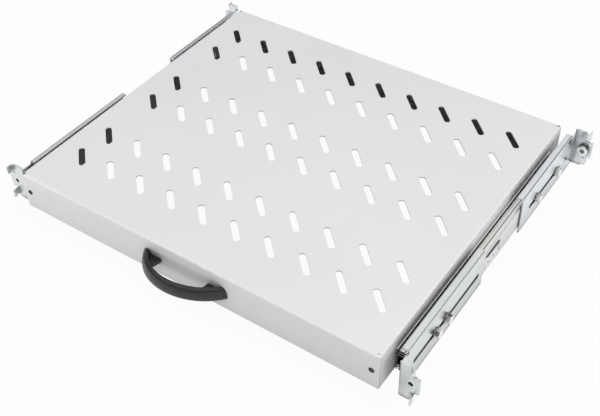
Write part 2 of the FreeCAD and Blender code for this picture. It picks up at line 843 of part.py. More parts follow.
def make_bracket(name, side, end):
    thick = size("bracket_sheet")
    inward = 1 if end == "front" else -1
    length = size(f"bracket_{end}_length")
    lip_edge = web_outside - size("bracket_lip")
    body = new_body(f"bracket_{end}_{name}", 0, as_size(0) if end == "front" else size("rack_depth"), 0)

    # Web and top lip
    profile = sketch_on(body, "XZ_Plane")
    angle = [
        (web_inside, -bracket_half),
        (web_outside, -bracket_half),
        (web_outside, bracket_half),
        (lip_edge, bracket_half),
        (lip_edge, bracket_half - thick),
        (web_inside, bracket_half - thick),
    ]
    polygon(profile, [(side * x, z) for x, z in angle])
    pad(body, profile, length, reverse=inward > 0)
    relief = sketch_on(body, "YZ_Plane")
    relief_top = bracket_half + thick
    relief_bottom = bracket_half - size("lip_relief")
    rectangle(relief, (as_size(0), relief_bottom), (inward * size("lip_start"), relief_top))
    pocket(body, relief)
    crest = edges_along(body, "y", x=side * web_outside, z=bracket_half)
    round_edges(body, crest, outer_bend)
    crease = edges_along(body, "y", x=side * web_inside, z=bracket_half - thick)
    round_edges(body, crease, size("bracket_bend"))

    # Flange against the post, with the lug for the rack screw and the roots of the hooks
    lug_half = size("lug_height") / 2
    hook_high = size("rack_hole_rise") + size("hook_height") / 2
    hook_low = size("rack_hole_rise") - size("hook_height") / 2
    root = hook_outside - outer_bend - thick
    lug_edge = size("rack_width") / 2
    flange = sketch_on(body, "XZ_Plane")
    plate = [
        (web_inside, -bracket_half),
        (root, -bracket_half),
        (root, -hook_high),
        (hook_outside, -hook_high),
        (hook_outside, -hook_low),
        (root, -hook_low),
        (root, -lug_half),
        (lug_edge, -lug_half),
        (lug_edge, lug_half),
        (root, lug_half),
        (root, hook_low),
        (hook_outside, hook_low),
        (hook_outside, hook_high),
        (root, hook_high),
        (root, bracket_half),
        (web_inside, bracket_half),
    ]
    polygon(flange, [(side * x, z) for x, z in plate])
    pad(body, flange, thick, reverse=inward > 0)

    # Hooks: tabs turned out of the flange
    out = -inward
    hooks = sketch_on(body, "YZ_Plane", side * hook_outside)
    for low in (hook_low, -hook_high):
        rectangle(hooks, (inward * thick, low), (out * size("hook_reach"), low + size("hook_height")))
    pad(body, hooks, thick, reverse=side > 0)

    # Bends and rounded corners
    round_edges(body, edges_along(body, "z", x=side * web_inside, y=0), outer_bend)
    round_edges(body, edges_along(body, "z", x=side * web_outside, y=inward * thick), size("bracket_bend"))
    round_edges(body, edges_along(body, "z", x=side * hook_outside, y=inward * thick), outer_bend)
    round_edges(body, edges_along(body, "z", x=side * (hook_outside - thick), y=0), size("bracket_bend"))
    corners = edges_along(body, "y", x=side * lug_edge)
    round_edges(body, corners, size("lug_round"))
    ends = edges_along(body, "y", x=side * root, z=-bracket_half)
    ends += edges_along(body, "y", x=side * root, z=bracket_half)
    round_edges(body, ends, size("strip_round"))

    # Under each hook a catch, cut so that the tip drops behind the post's sheet
    catch = size("hook_catch")
    catches = sketch_on(body, "YZ_Plane")
    for low in (hook_low, -hook_high):
        rectangle(catches, (as_size(0), low - catch), (out * catch, low + catch))
    pocket(body, catches)

    # Hole for the press-in nut, and the long hole for the clamp bolts
    hole = sketch_on(body, "XZ_Plane")
    circle(hole, (side * rack_hole, as_size(0)), (size("nut_shank_diameter") + size("thread_gap")) / 2)
    pocket(body, hole)
    slot = sketch_on(body, "YZ_Plane")
    end_radius = size("clamp_slot_width") / 2
    near_end = size(f"{end}_slot_start") + end_radius
    far_end = size(f"bracket_{end}_length") - size(f"{end}_slot_margin") - end_radius
    level = size("slide_level")
    long_hole(slot, (inward * near_end, level), (inward * far_end, level), size("clamp_slot_width"))
    pocket(body, slot)
    return body


# Press-in nut: a round body behind the flange, with a shank that fills the hole in it

def make_rack_nut(name, side, end):
    inward = 1 if end == "front" else -1
    thick = size("bracket_sheet")
    total = thick + size("nut_length")
    face = as_size(0) if end == "front" else size("rack_depth")
    start = face if end == "front" else face - total
    body_start = face + thick if end == "front" else face - total
    shank_start = face if end == "front" else face - thick
    x = side * rack_hole
    nut_body = cylinder(along_y, x, body_start, 0, size("nut_diameter") / 2, size("nut_length"))
    shank = cylinder(along_y, x, shank_start, 0, size("nut_shank_diameter") / 2, thick)
    bore = cylinder(along_y, x, start, 0, size("nut_bore") / 2, total)
    nut = cut(fuse([nut_body, shank]), bore)
    nut.Label = f"rack_nut_{end}_{name}"
    return nut


# Clamp bolts and their washers, through the bracket's long hole into the outer member

def make_clamp_bolts():
    washer_face = web_outside + size("washer_thickness")
    shank_in = tray_half + outer_web
    radius = size("bolt_diameter") / 2
    level = size("slide_level")
    bolts = []
    for side in sides.values():
        head_start = mirrored_start(side, washer_face, washer_face + size("bolt_head"))
        shank_start = mirrored_start(side, shank_in, washer_face)
        for y in clamp_places["front"] + clamp_places["rear"]:
            head = hexagon(along_x, head_start, y, level, size("bolt_flats"), size("bolt_head"))
            shank = cylinder(along_x, shank_start, y, level, radius, washer_face - shank_in)
            bolts.append(fuse([head, shank]))
    return group("clamp_bolts", bolts)


def make_clamp_washers():
    thick = size("washer_thickness")
    radius = size("washer_diameter") / 2
    bore = (size("bolt_diameter") + size("hole_gap")) / 2
    level = size("slide_level")
    washers = []
    for side in sides.values():
        start = mirrored_start(side, web_outside, web_outside + thick)
        for y in clamp_places["front"] + clamp_places["rear"]:
            blank = cylinder(along_x, start, y, level, radius, thick)
            hole = cylinder(along_x, start, y, level, bore, thick)
            washers.append(cut(blank, hole))
    return group("clamp_washers", washers)


for name, side in sides.items():
    for end in ("front", "rear"):
        sub_parts.append(make_bracket(name, side, end))
        sub_parts.append(make_rack_nut(name, side, end))
sub_parts.append(make_clamp_bolts())
sub_parts.append(make_clamp_washers())

doc.recompute()

# Nothing is written unless every object is sound

for item in doc.Objects:
    if "Invalid" in item.State or "Error" in item.State:
        raise RuntimeError(f"{item.Label} failed: {item.State}")
for part in sub_parts:
    if part.Shape.isNull() or not part.Shape.isValid():
        raise RuntimeError(f"{part.Label} has no sound shape")

os.makedirs("parts", exist_ok=True)
for part in sub_parts:
    part.Shape.exportStep(f"parts/{part.Label}.step")
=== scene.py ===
import bmesh
import bpy
import math
from mathutils import Matrix, Vector


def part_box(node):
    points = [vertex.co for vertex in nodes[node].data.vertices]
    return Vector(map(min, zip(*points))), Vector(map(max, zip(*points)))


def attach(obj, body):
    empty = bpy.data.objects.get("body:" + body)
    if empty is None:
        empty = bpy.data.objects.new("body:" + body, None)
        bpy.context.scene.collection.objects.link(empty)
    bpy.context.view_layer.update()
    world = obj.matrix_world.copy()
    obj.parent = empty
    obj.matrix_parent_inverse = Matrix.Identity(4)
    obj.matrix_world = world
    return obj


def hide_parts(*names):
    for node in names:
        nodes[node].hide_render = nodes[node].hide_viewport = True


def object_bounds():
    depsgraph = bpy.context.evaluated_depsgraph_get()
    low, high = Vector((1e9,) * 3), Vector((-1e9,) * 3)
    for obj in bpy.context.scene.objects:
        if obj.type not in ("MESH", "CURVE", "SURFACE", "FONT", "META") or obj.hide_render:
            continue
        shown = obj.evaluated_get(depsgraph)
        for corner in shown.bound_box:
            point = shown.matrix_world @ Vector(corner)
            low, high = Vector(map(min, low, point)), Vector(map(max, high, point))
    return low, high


# Sliding shelf for a 19 inch rack, seen pushed in: a slotted tray with a bow handle, on two
# telescopic slides that are clamped to four folded brackets. Lengths are in metres.
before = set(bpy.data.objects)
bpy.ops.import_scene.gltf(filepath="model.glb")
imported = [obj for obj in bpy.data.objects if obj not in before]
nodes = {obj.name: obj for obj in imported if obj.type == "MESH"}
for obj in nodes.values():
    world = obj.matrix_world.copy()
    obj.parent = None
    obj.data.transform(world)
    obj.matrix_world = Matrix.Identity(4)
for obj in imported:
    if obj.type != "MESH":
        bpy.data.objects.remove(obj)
cad_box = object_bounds()


# Tray
# One sheet of 1.2 mm steel, folded down on four sides and slotted for air, then powder coated in a
# light grey. The coat has a fine orange peel and a slightly uneven gloss. Painted shade darkens its
# corners, and more strongly its long sides beside the slides, most towards the front.

def put(tree, kind, wires, **settings):
    """One node in a tree: its settings, and its sockets joined to other sockets or set to a value."""
    node = tree.nodes.new(kind)
    for setting, value in settings.items():
        setattr(node, setting, value)
    for socket, value in wires.items():
        if isinstance(value, bpy.types.NodeSocket):
            tree.links.new(value, node.inputs[socket])
        else:
            node.inputs[socket].default_value = value
    return node


def start_finish(name):
    """A new surface finish: its material, node tree, shader and the piece's own coordinates."""
    finish = bpy.data.materials.new(name)
    finish.use_nodes = True
    tree = finish.node_tree
    place = put(tree, "ShaderNodeTexCoord", {}).outputs["Object"]
    return finish, tree, tree.nodes["Principled BSDF"], place


def cloudy(tree, place, scale, detail=2.0, stretch=(1.0, 1.0, 1.0)):
    """Uneven grey field, in spots of about one metre over scale."""
    turned = put(tree, "ShaderNodeMapping", {"Vector": place, "Scale": stretch})
    wires = {"Vector": turned.outputs["Vector"], "Scale": scale, "Detail": detail}
    return put(tree, "ShaderNodeTexNoise", wires).outputs["Fac"]


def tinted(tree, field, colours, start=0.32, stop=0.68):
    """The field as a run through the given colours."""
    ramp = put(tree, "ShaderNodeValToRGB", {"Fac": field})
    stops = ramp.color_ramp.elements
    while len(stops) < len(colours):
        stops.new(0.5)
    for index, colour in enumerate(colours):
        stops[index].position = start + (stop - start) * index / (len(colours) - 1)
        stops[index].color = (*colour, 1.0)
    return ramp.outputs["Color"]


def ranged(tree, field, low, high):
    """The field as a number between low and high."""
    wires = {"Value": field, "From Min": 0.3, "From Max": 0.7, "To Min": low, "To Max": high}
    return put(tree, "ShaderNodeMapRange", wires).outputs["Result"]


def raised(tree, fields, strength):
    """Bump from one or more fields of given heights, coarse first."""
    normal = None
    for field, height in fields:
        wires = {"Height": field, "Distance": height, "Strength": strength}
        if normal is not None:
            wires["Normal"] = normal
        normal = put(tree, "ShaderNodeBump", wires).outputs["Normal"]
    return normal


def number(tree, operation, *values):
    """Sum, product or the like of sockets and plain numbers."""
    return put(tree, "ShaderNodeMath", dict(enumerate(values)), operation=operation).outputs[0]


def with_painted_shade(tree, colour, depth, strength):
    """The colour, darkened by painted shade in corners of about the given depth."""
    # Painted shade: ambient occlusion darkens the colour in corners and in gaps between parts.
    corner = put(tree, "ShaderNodeAmbientOcclusion", {"Distance": depth}, samples=12).outputs["AO"]
    painted_shade = number(tree, "POWER", corner, strength)
    return put(tree, "ShaderNodeVectorMath", {0: colour, "Scale": painted_shade}, operation="SCALE").outputs[0]


def powder_coat():
    finish, tree, shader, place = start_finish("tray_powder_coat")
    greys = [(0.725, 0.728, 0.722), (0.742, 0.742, 0.738), (0.752, 0.754, 0.748)]
    batch = cloudy(tree, place, scale=7.0, detail=3.0)
    gloss = cloudy(tree, place, scale=60.0)
    peel = cloudy(tree, place, scale=420.0)
    grain = cloudy(tree, place, scale=1500.0)
    peel_height = 0.00006
    grain_height = 0.00002
    # Painted shade in the coat's corners, stronger along the long sides beside the slides and most
    # towards the front.
    painted_shade = 0.3
    front_side_shade = 1.9
    side_shade_per_metre = -3.5
    side_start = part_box("tray")[1].x - 0.001
    along = put(tree, "ShaderNodeSeparateXYZ", {"Vector": place}).outputs
    across = number(tree, "ABSOLUTE", along["X"])
    by_slide = number(tree, "GREATER_THAN", across, side_start)
    side_shade = number(tree, "MULTIPLY_ADD", along["Y"], side_shade_per_metre, front_side_shade)
    shade_power = number(tree, "MULTIPLY_ADD", by_slide, side_shade, painted_shade)
    coat = with_painted_shade(tree, tinted(tree, batch, greys), depth=0.010, strength=shade_power)
    rough = ranged(tree, gloss, low=0.40, high=0.50)
    relief = raised(tree, [(peel, peel_height), (grain, grain_height)], strength=0.5)
    tree.links.new(coat, shader.inputs["Base Color"])
    tree.links.new(rough, shader.inputs["Roughness"])
    tree.links.new(relief, shader.inputs["Normal"])
    shader.inputs["Specular IOR Level"].default_value = 0.45
    return finish


crease = math.radians(32)
touching = 1e-6


def dress(node, body, finish, edge_round):
    """A CAD node's copy with its facets joined, its curved faces smooth and its edges just broken."""
    mesh = nodes[node].data.copy()
    mesh.name = f"{node}_skin"
    shape = bmesh.new()
    shape.from_mesh(mesh)
    bmesh.ops.remove_doubles(shape, verts=shape.verts, dist=touching)
    flat = math.radians(0.5)
    bmesh.ops.dissolve_limit(shape, angle_limit=flat, verts=shape.verts, edges=shape.edges)
    for face in shape.faces:
        face.smooth = True
    for edge in shape.edges:
        edge.smooth = edge.calc_face_angle(math.pi) < crease
    shape.to_mesh(mesh)
    shape.free()
    mesh.materials.clear()
    mesh.materials.append(finish)
    piece = bpy.data.objects.new(mesh.name, mesh)
    bpy.context.scene.collection.objects.link(piece)
    if edge_round:
        broken = piece.modifiers.new("broken_edges", "BEVEL")
        broken.width = edge_round
        broken.segments = 2
        broken.limit_method = "ANGLE"
        broken.angle_limit = crease
        broken.harden_normals = True
    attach(piece, body)
    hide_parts(node)
    return piece


dress("tray", "shelf", powder_coat(), edge_round=0.0002)


# Handle
# A bow moulded in black plastic with a satin, finely eroded skin. Two screws from inside the tray
# hold the ends of its strap, and a thin gusset braces each end.

def satin_plastic():
    finish, tree, shader, place = start_finish("handle_black_plastic")
    blacks = [(0.007, 0.007, 0.007), (0.012, 0.012, 0.012)]
    blend = cloudy(tree, place, scale=90.0, detail=3.0)
    gloss = cloudy(tree, place, scale=200.0)
    spark = cloudy(tree, place, scale=2600.0)
    spark_height = 0.00003
    tree.links.new(tinted(tree, blend, blacks), shader.inputs["Base Color"])
    tree.links.new(ranged(tree, gloss, low=0.26, high=0.36), shader.inputs["Roughness"])
    tree.links.new(raised(tree, [(spark, spark_height)], strength=0.5), shader.inputs["Normal"])
    shader.inputs["Specular IOR Level"].default_value = 0.6
    return finish


handle_level = 0.007
handle_height = 0.0145
handle_tilt = math.radians(15)
bow_setback = 0.0235
bow_radius = 0.0545
strap = 0.006
bulge = 0.0016


def bulge_out(piece):
    """The strap's outer face bowed, by setting it back towards its upper and lower edge."""
    shape = bmesh.new()
    shape.from_mesh(piece.data)
    foot = Vector((0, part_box("handle")[1].y, handle_level))
    upward = Vector((0, math.sin(handle_tilt), math.cos(handle_tilt)))
    inward = Vector((0, math.cos(handle_tilt), -math.sin(handle_tilt)))
    rows = 10
    inner_part = 0.3
    for row in range(1, rows):
        level = foot + upward * handle_height * (row / rows - 0.5)
        every = shape.verts[:] + shape.edges[:] + shape.faces[:]
        bmesh.ops.bisect_plane(shape, geom=every, plane_co=level, plane_no=upward)
    for corner in shape.verts:
        offset = corner.co - foot
        across = 2 * offset.dot(upward) / handle_height
        spoke = Vector((offset.x, 0, 0)) + inward * (offset.dot(inward) - bow_setback)
        outermost = (spoke.length - bow_radius + strap) / strap
        if outermost > inner_part:
            corner.co -= spoke.normalized() * bulge * across ** 2 * outermost
            corner.co.y = min(corner.co.y, foot.y)
    shape.to_mesh(piece.data)
    shape.free()


bulge_out(dress("handle", "shelf", satin_plastic(), edge_round=0))


# Slide members
# Three channels a side, roll formed from zinc plated strip: the outer one is clamped to the
# brackets, the middle one floats, and the inner one is screwed to the tray. Rolling leaves streaks.

def zinc_plate(name, along, greys, rough):
    """Bright zinc with streaks along the rolled strip, a faint passivated tint and painted shade in
    its corners.
    """
    finish, tree, shader, place = start_finish(name)
    streaks = cloudy(tree, place, scale=420.0, detail=3.0, stretch=along)
    clouds = cloudy(tree, place, scale=26.0, detail=3.0)
    streak_share = 0.35
    streak_height = 0.00002
    streaky = number(tree, "MULTIPLY", streaks, streak_share)
    mottled = number(tree, "MULTIPLY_ADD", clouds, 1 - streak_share, streaky)
    # Painted shade darkens the plate in corners and in the gaps between parts.
    plate = with_painted_shade(tree, tinted(tree, mottled, greys), depth=0.005, strength=1.6)
    tree.links.new(plate, shader.inputs["Base Color"])
    tree.links.new(ranged(tree, streaks, *rough), shader.inputs["Roughness"])
    tree.links.new(raised(tree, [(streaks, streak_height)], strength=0.4), shader.inputs["Normal"])
    shader.inputs["Metallic"].default_value = 1.0
    return finish


rolled_lengthways = (1.0, 0.02, 1.0)
slide_greys = [(0.73, 0.735, 0.71), (0.79, 0.79, 0.765), (0.76, 0.75, 0.77)]
slide_zinc = zinc_plate("slide_zinc", rolled_lengthways, slide_greys, rough=(0.20, 0.34))


def sheared_steel():
    """Matt bright steel, as the slitting knife leaves the edge of the strip."""
    finish, tree, shader, place = start_finish("sheared_edge")
    greys = [(0.80, 0.80, 0.79), (0.90, 0.90, 0.89)]
    torn = cloudy(tree, place, scale=700.0, detail=3.0)
    tree.links.new(tinted(tree, torn, greys), shader.inputs["Base Color"])
    tree.links.new(ranged(tree, torn, low=0.55, high=0.75), shader.inputs["Roughness"])
    shader.inputs["Metallic"].default_value = 0.2
    return finish


def bare_top(piece, finish):
    """A second finish on the highest level faces of a piece."""
    piece.data.materials.append(finish)
    top = max(corner.co.z for corner in piece.data.vertices)
    level = 0.9
    skin = 0.0002
    for face in piece.data.polygons:
        if face.normal.z > level and face.center.z > top - skin:
            face.material_index = 1


bracket_sheet = 0.0015
bend_radius = 0.0011


def outer_face(slide):
    """How far the web's outer face lies from the middle; the raised bridge is as high as a bracket."""
    return max(abs(corner.x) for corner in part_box(slide)) - bracket_sheet


def round_bends(piece, slide):
    """The member's two outer corners rounded, as the rolls leave them."""
    mesh = piece.data
    low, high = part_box(slide)
    face = outer_face(slide)
    close = 1e-5
    weights = mesh.attributes.new("bevel_weight_edge", "FLOAT", "EDGE").data
    for edge in mesh.edges:
        start, end = [mesh.vertices[index].co for index in edge.vertices]
        on_rim = min(high.z - start.z, start.z - low.z) < close and abs(start.z - end.z) < close
        on_web = all(abs(abs(corner.x) - face) < close for corner in (start, end))
        weights[edge.index].value = 1.0 if on_rim and on_web else 0.0
    bend = piece.modifiers.new("bends", "BEVEL")
    bend.width = bend_radius
    bend.segments = 5
    bend.limit_method = "WEIGHT"
    bend.harden_normals = True
    # The bends are rounded first, and then the other edges are broken.
    piece.modifiers.move(1, 0)


sheared = sheared_steel()
strip_edge = 0.00015
for side in ("left", "right"):
    outer = dress(f"slide_outer_{side}", "rails", slide_zinc, strip_edge)
    round_bends(outer, f"slide_outer_{side}")
    dress(f"slide_middle_{side}", f"middle_{side}", slide_zinc, strip_edge)
    inner = dress(f"slide_inner_{side}", "shelf", slide_zinc, strip_edge)
    bare_top(inner, sheared)


# Ball cages, balls and bumpers
# Between the members run hardened balls, held at their pitch by folded strip cages. A rubber block
# at the back of each outer member stops the others.

def ball_steel():
    finish, tree, shader, place = start_finish("ball_steel")
    greys = [(0.74, 0.75, 0.76), (0.80, 0.81, 0.82)]
    heat = cloudy(tree, place, scale=500.0)
    gloss = cloudy(tree, place, scale=900.0)
    tree.links.new(tinted(tree, heat, greys), shader.inputs["Base Color"])
    tree.links.new(ranged(tree, gloss, low=0.08, high=0.16), shader.inputs["Roughness"])
    shader.inputs["Metallic"].default_value = 1.0
    return finish


def bumper_rubber():
    finish, tree, shader, place = start_finish("bumper_rubber")
    blacks = [(0.018, 0.018, 0.018), (0.034, 0.034, 0.033)]
    bloom = cloudy(tree, place, scale=300.0, detail=3.0)
    bloom_height = 0.00005
    tree.links.new(tinted(tree, bloom, blacks), shader.inputs["Base Color"])
    tree.links.new(ranged(tree, bloom, low=0.62, high=0.78), shader.inputs["Roughness"])
    tree.links.new(raised(tree, [(bloom, bloom_height)], strength=0.6), shader.inputs["Normal"])
    return finish


cage_greys = [(0.56, 0.57, 0.56), (0.63, 0.63, 0.62), (0.60, 0.61, 0.62)]
cage_steel = zinc_plate("cage_strip", rolled_lengthways, cage_greys, rough=(0.26, 0.40))
polished = ball_steel()
rubber = bumper_rubber()
for side in ("left", "right"):
    for row in ("outer", "inner"):
        body = f"{row}_cage_{side}"
        dress(f"ball_cage_{row}_{side}", body, cage_steel, edge_round=0.00008)
        dress(f"balls_{row}_{side}", body, polished, edge_round=0)
    dress(f"slide_bumper_{side}", "rails", rubber, edge_round=0.0004)


# Brackets
# Folded from 1.5 mm steel and zinc plated: a long web with a clamp slot, a narrow lip along its top,
# and a lug that meets the rack post, with a hook above and below the screw.

rolled_sheet = (1.0, 0.06, 0.5)
bracket_greys = [(0.64, 0.695, 0.69), (0.73, 0.76, 0.74), (0.70, 0.715, 0.74)]
bracket_zinc = zinc_plate("bracket_zinc", rolled_sheet, bracket_greys, rough=(0.22, 0.38))
bluish_greys = [(0.62, 0.68, 0.72), (0.73, 0.76, 0.775), (0.70, 0.71, 0.765)]
bluish_zinc = zinc_plate("bracket_zinc_bluish", rolled_sheet, bluish_greys, rough=(0.13, 0.26))
bracket_edge = 0.0002
hair = 0.00003


def ease_web(piece, slide):
    """The web's inner face moved out by a hair, so that the bracket slides clear of the member."""
    face = outer_face(slide)
    for corner in piece.data.vertices:
        if abs(abs(corner.co.x) - face) < touching:
            corner.co.x += math.copysign(hair, corner.co.x)


for side in ("left", "right"):
    dress(f"bracket_front_{side}", "rails", bracket_zinc, bracket_edge)
    body = f"rear_bracket_{side}"
    rear = dress(f"bracket_rear_{side}", body, bluish_zinc, bracket_edge)
    ease_web(rear, f"slide_outer_{side}")


# Rack nuts
# A round nut is pressed into each lug for the rack screw: a short collar in the lug's hole, a body
# behind it and a bore between. Both rings are swept round a circle from a profile with broken edges.

def solids_of(node):
    """Lowest and highest corner of each separate solid in a CAD node, in the order of its mesh."""
    shape = bmesh.new()
    shape.from_mesh(nodes[node].data)
    bmesh.ops.remove_doubles(shape, verts=shape.verts, dist=touching)
    boxes = []
    for first in shape.verts:
        if first.tag:
            continue
        first.tag = True
        reached = [first]
        for corner in reached:
            for edge in corner.link_edges:
                other = edge.other_vert(corner)
                if not other.tag:
                    other.tag = True
                    reached.append(other)
        low = Vector([min(corner.co[axis] for corner in reached) for axis in range(3)])
        high = Vector([max(corner.co[axis] for corner in reached) for axis in range(3)])
        boxes.append((low, high))
    shape.free()
    return boxes


def fastener_tree(name, *sizes):
    """A node tree that takes places and named sizes, with the sockets of both."""
    tree = bpy.data.node_groups.new(name, "GeometryNodeTree")
    tree.interface.new_socket("Places", in_out="INPUT", socket_type="NodeSocketGeometry")
    for size in sizes:
        tree.interface.new_socket(size, in_out="INPUT", socket_type="NodeSocketFloat")
    tree.interface.new_socket("Pieces", in_out="OUTPUT", socket_type="NodeSocketGeometry")
    return tree, put(tree, "NodeGroupInput", {}).outputs


def repeat(tree, places, piece, finish):
    """The piece at every place, its Z along the place's axis, as one mesh with crisp edges."""
    axis = put(tree, "GeometryNodeInputNamedAttribute", {"Name": "axis"}, data_type="FLOAT_VECTOR")
    turn = put(tree, "GeometryNodeInputNamedAttribute", {"Name": "turn"}, data_type="FLOAT")
    wires = {"Vector": axis.outputs["Attribute"]}
    upright = put(tree, "FunctionNodeAlignRotationToVector", wires, axis="Z").outputs["Rotation"]
    wires = {"Axis": (0, 0, 1), "Angle": turn.outputs["Attribute"]}
    spin = put(tree, "FunctionNodeAxisAngleToRotation", wires).outputs["Rotation"]
    wires = {"Rotation": upright, "Rotate By": spin}
    stance = put(tree, "FunctionNodeRotateRotation", wires, rotation_space="LOCAL").outputs["Rotation"]
    wires = {"Points": places, "Instance": piece, "Rotation": stance}
    copies = put(tree, "GeometryNodeInstanceOnPoints", wires).outputs["Instances"]
    angle = put(tree, "GeometryNodeInputMeshEdgeAngle", {}).outputs["Unsigned Angle"]
    gentle = number(tree, "LESS_THAN", angle, crease)
    whole = put(tree, "GeometryNodeRealizeInstances", {"Geometry": copies}).outputs["Geometry"]
    wires = {"Geometry": whole, "Shade Smooth": gentle}
    smooth = put(tree, "GeometryNodeSetShadeSmooth", wires, domain="EDGE").outputs["Geometry"]
    coated = put(tree, "GeometryNodeSetMaterial", {"Geometry": smooth, "Material": finish})
    put(tree, "NodeGroupOutput", {"Pieces": coated.outputs["Geometry"]})


def set_down(name, tree, places, sizes, body, *replaced):
    """The tree's pieces at the places, as a plain mesh that rides on a body."""
    spots = bpy.data.meshes.new(name)
    spots.from_pydata([spot for spot, axis, turn in places], [], [])
    spots.attributes.new("axis", "FLOAT_VECTOR", "POINT")
    spots.attributes.new("turn", "FLOAT", "POINT")
    for index, (spot, axis, turn) in enumerate(places):
        spots.attributes["axis"].data[index].vector = axis
        spots.attributes["turn"].data[index].value = turn
    piece = bpy.data.objects.new(name, spots)
    bpy.context.scene.collection.objects.link(piece)
    maker = piece.modifiers.new("maker", "NODES")
    maker.node_group = tree
    for socket in tree.interface.items_tree:
        if socket.name in sizes:
            maker[socket.identifier] = sizes[socket.name]
    made = piece.evaluated_get(bpy.context.evaluated_depsgraph_get())
    mesh = bpy.data.meshes.new_from_object(made)
    piece.modifiers.remove(maker)
    piece.data = mesh
    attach(piece, body)
    if replaced:
        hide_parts(*replaced)
    return piece


def lifted(tree, piece, height):
    """The piece moved up by a height."""
    move = put(tree, "ShaderNodeCombineXYZ", {"Z": height}).outputs["Vector"]
    wires = {"Geometry": piece, "Translation": move}
    return put(tree, "GeometryNodeTransform", wires).outputs["Geometry"]


def ring(tree, inner, outer, base, height, edge):
    """Round ring with broken edges, standing on the level base."""
    across = number(tree, "SUBTRACT", outer, inner)
    wires = {"Width": across, "Height": height}
    section = put(tree, "GeometryNodeCurvePrimitiveQuadrilateral", wires).outputs["Curve"]
    wires = {"Curve": section, "Radius": edge, "Count": 2, "Limit Radius": True}
    section = put(tree, "GeometryNodeFilletCurve", wires, mode="POLY").outputs["Curve"]
    middle = number(tree, "MULTIPLY", number(tree, "ADD", outer, inner), 0.5)
    wires = {"Resolution": 48, "Radius": middle}
    circle = put(tree, "GeometryNodeCurvePrimitiveCircle", wires).outputs["Curve"]
    wires = {"Curve": circle, "Profile Curve": section}
    swept = put(tree, "GeometryNodeCurveToMesh", wires).outputs["Mesh"]
    return lifted(tree, swept, number(tree, "MULTIPLY_ADD", height, 0.5, base))


def together(tree, *parts):
    """All the parts as one."""
    joint = put(tree, "GeometryNodeJoinGeometry", {})
    for part in parts:
        tree.links.new(part, joint.inputs[0])
    return joint.outputs["Geometry"]


def rack_nut_tree(finish):
    tree, given = fastener_tree("rack_nut", "Bore", "Collar", "Body", "Sheet", "Height", "Edge")
    bore = given["Bore"]
    collar = ring(tree, bore, given["Collar"], 0.0, given["Sheet"], given["Edge"])
    body = ring(tree, bore, given["Body"], given["Sheet"], given["Height"], given["Edge"])
    repeat(tree, given["Places"], together(tree, collar, body), finish)
    return tree


fastener_greys = [(0.74, 0.75, 0.76), (0.86, 0.86, 0.85), (0.80, 0.80, 0.83)]
unstretched = (1.0, 1.0, 1.0)
fastener_zinc = zinc_plate("fastener_zinc", unstretched, fastener_greys, rough=(0.07, 0.15))
broken_edge = 0.00025
nut_tree = rack_nut_tree(fastener_zinc)


def rack_nut_place(node, inward):
    """Middle of the nut's face on the post, and the way into the rack."""
    low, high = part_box(node)
    middle = (low + high) / 2
    face = low.y if inward > 0 else high.y
    return Vector((middle.x, face, middle.z)), Vector((0, inward, 0)), 0.0


def rack_nut_sizes(node):
    """The sizes of a nut that is as wide and long as the CAD node."""
    low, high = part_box(node)
    length = high.y - low.y
    return {
        "Bore": 0.0025,
        "Collar": 0.00435,
        "Body": (high.x - low.x) / 2,
        "Sheet": bracket_sheet,
        "Height": length - bracket_sheet,
        "Edge": broken_edge,
    }


front_nuts = ["rack_nut_front_left", "rack_nut_front_right"]
front_places = [rack_nut_place(node, 1) for node in front_nuts]
front_sizes = rack_nut_sizes(front_nuts[0])
set_down("rack_nuts_front", nut_tree, front_places, front_sizes, "rails", *front_nuts)
for side in ("left", "right"):
    node = f"rack_nut_rear_{side}"
    body = f"rear_bracket_{side}"
    rear_place = rack_nut_place(node, -1)
    set_down(f"{node}_rings", nut_tree, [rear_place], rack_nut_sizes(node), body, node)


# Corner grommets
# A black rubber grommet sits in the plain hole at each end of the tray's front: a thin lip on the
# sheet and a tube behind it. Both are swept like the rings of the rack nuts.

def grommet_tree(finish):
    sizes = ("Bore", "Hole", "Lip", "Lip height", "Tube", "Sheet", "Edge")
    tree, given = fastener_tree("corner_grommet", *sizes)
    before = number(tree, "ADD", given["Sheet"], given["Lip height"])
    outside = number(tree, "MULTIPLY", before, -1.0)
    lip = ring(tree, given["Bore"], given["Lip"], outside, given["Lip height"], given["Edge"])
    tube = ring(tree, given["Bore"], given["Hole"], 0.0, given["Tube"], given["Edge"])
    repeat(tree, given["Places"], together(tree, lip, tube), finish)
    return tree


tray_sheet = 0.0012
hole_offset = 0.2007
hole_level = 0.007
front_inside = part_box("tray")[0].y + tray_sheet
grommet_places = []
for way in (-1, 1):
    spot = Vector((way * hole_offset, front_inside, hole_level))
    grommet_places.append((spot, Vector((0, 1, 0)), 0.0))
grommet_sizes = {
    "Bore": 0.0009,
    "Hole": 0.0019,
    "Lip": 0.0027,
    "Lip height": 0.0006,
    "Tube": 0.0045,
    "Sheet": tray_sheet,
    "Edge": 0.0002,
}
grommets = set_down("corner_grommets", grommet_tree(rubber), grommet_places, grommet_sizes, "shelf")


# Clamp bolts and washers
# Hexagon bolts with chamfered heads hold the outer members in the brackets' long holes, each on a
# plain washer. Each head is turned differently, as a spanner leaves it.

shank_sides = 24
spare = 0.001


def rod(tree, sides, radius, base, length):
    """Upright round or many-sided bar on the level base."""
    wires = {"Vertices": sides, "Radius": radius, "Depth": length}
    bar = put(tree, "GeometryNodeMeshCylinder", wires).outputs["Mesh"]
    return lifted(tree, bar, number(tree, "MULTIPLY_ADD", length, 0.5, base))


def overlap(tree, *parts):
    """What all the parts have in common."""
    common = put(tree, "GeometryNodeMeshBoolean", {}, operation="INTERSECT")
    for part in parts:
        tree.links.new(part, common.inputs["Mesh 2"])
    return common.outputs["Mesh"]


